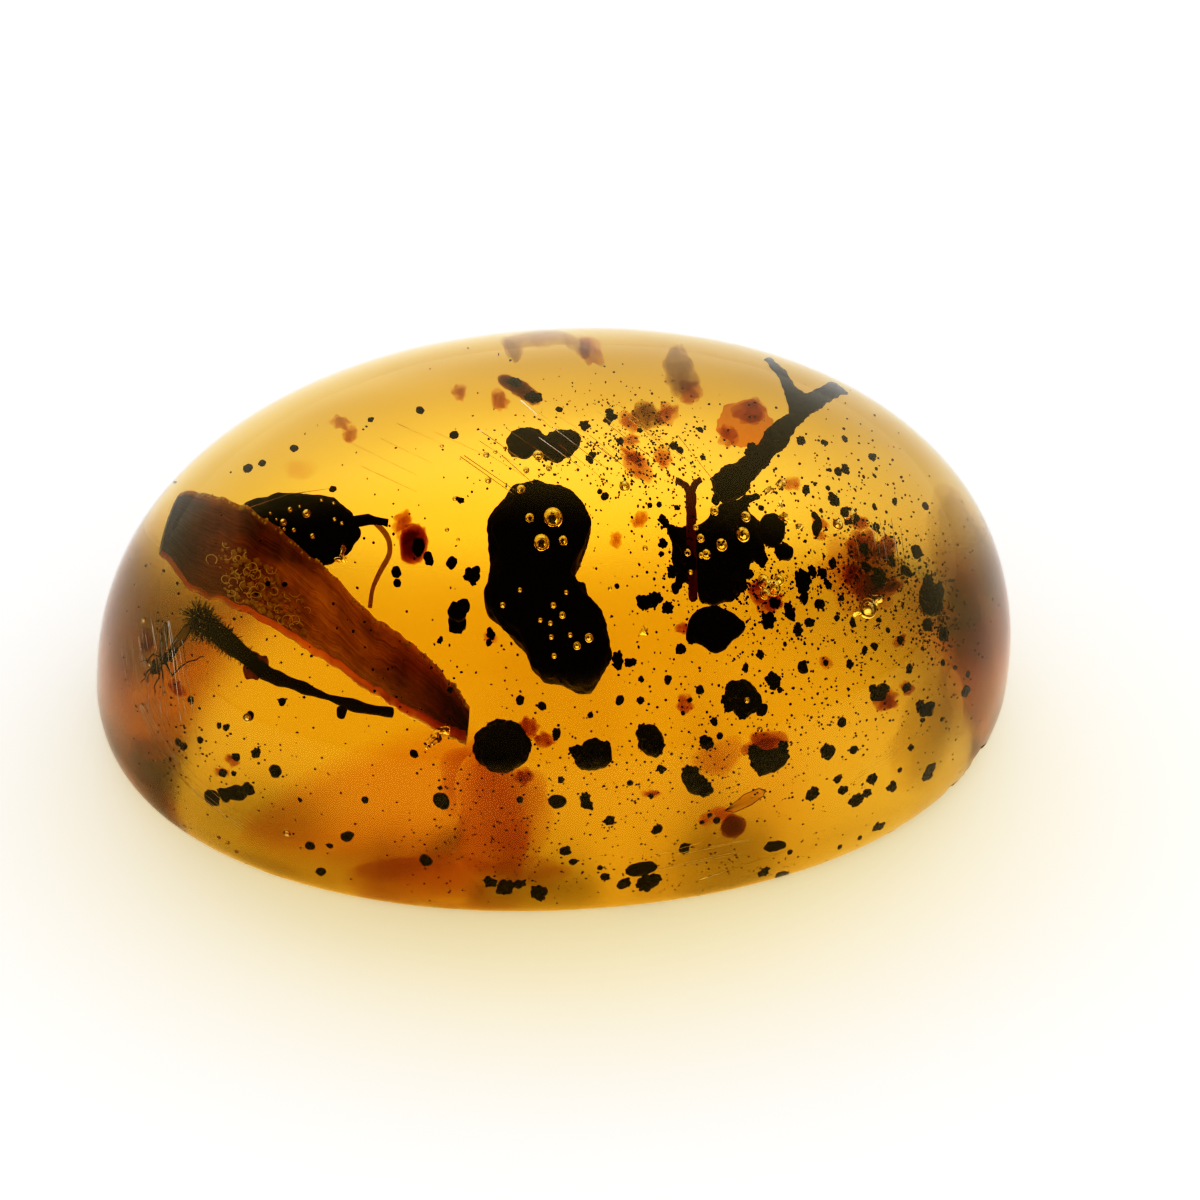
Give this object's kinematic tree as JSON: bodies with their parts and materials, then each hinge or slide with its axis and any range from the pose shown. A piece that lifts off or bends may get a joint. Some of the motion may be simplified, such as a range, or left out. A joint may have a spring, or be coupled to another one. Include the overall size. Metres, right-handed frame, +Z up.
{
  "type": "insect in copal",
  "caption": "Polished oval dome of clear honey-yellow copal with a strip of bark, charred twigs, crumbs and tiny insects sealed in it.",
  "frame": {"origin": "on the surface that the stone rests on, under the middle of its outline", "axes": "+X along the stone's long axis, +Z up, out of the dome's top"},
  "size_m": [0.025, 0.0168, 0.0102],
  "materials": {
    "copal": "clear honey-yellow resin, polished, with fine scratches",
    "bark": "reddish-brown bark, matt, darker at its ends",
    "seed": "dark brown seed coat, slightly glossy",
    "charred_wood": "black-brown charred wood and soil, matt",
    "stem": "dark red stem, smooth",
    "twig": "hairy brown twig",
    "leaf": "thin reddish-orange leaf scrap",
    "insect": "dark reddish-brown chitin with clear wings"
  },
  "bodies": {
    "root": {"copal_top": "copal", "copal_base": "copal", "bark_strip": "bark", "seed": "seed", "black_lump": "charred_wood", "upper_debris": "charred_wood", "rear_twig": "charred_wood", "rear_flake": "leaf", "wood_tangle": "charred_wood", "corner_chip": "charred_wood", "thin_stem": "stem", "black_flake": "charred_wood", "hairy_twig": "twig", "leaf_scrap": "leaf", "end_knot": "charred_wood", "midge": "insect", "barklouse": "insect", "crumb_01": "charred_wood", "crumb_02": "charred_wood", "crumb_03": "charred_wood", "crumb_04": "charred_wood", "crumb_05": "charred_wood", "crumb_06": "charred_wood", "crumb_07": "charred_wood", "crumb_08": "charred_wood", "crumb_09": "charred_wood", "crumb_10": "charred_wood", "crumb_11": "charred_wood", "crumb_12": "charred_wood", "crumb_13": "charred_wood", "crumb_14": "charred_wood", "crumb_15": "charred_wood", "crumb_16": "charred_wood", "crumb_17": "charred_wood", "crumb_18": "charred_wood", "crumb_19": "charred_wood", "crumb_20": "charred_wood", "rear_curl": "leaf", "rear_stick": "twig", "rear_clot": "bark", "upper_clot": "bark", "red_clot": "bark", "crumb_21": "charred_wood", "crumb_22": "charred_wood", "crumb_23": "charred_wood", "crumb_24": "charred_wood", "crumb_25": "charred_wood", "crumb_26": "charred_wood", "crumb_27": "charred_wood", "crumb_28": "charred_wood", "crumb_29": "charred_wood", "crumb_30": "charred_wood", "crumb_31": "charred_wood", "crumb_32": "charred_wood", "crumb_33": "charred_wood", "crumb_34": "charred_wood", "crumb_35": "charred_wood", "crumb_36": "charred_wood", "crumb_37": "charred_wood"}
  },
  "joints": []
}
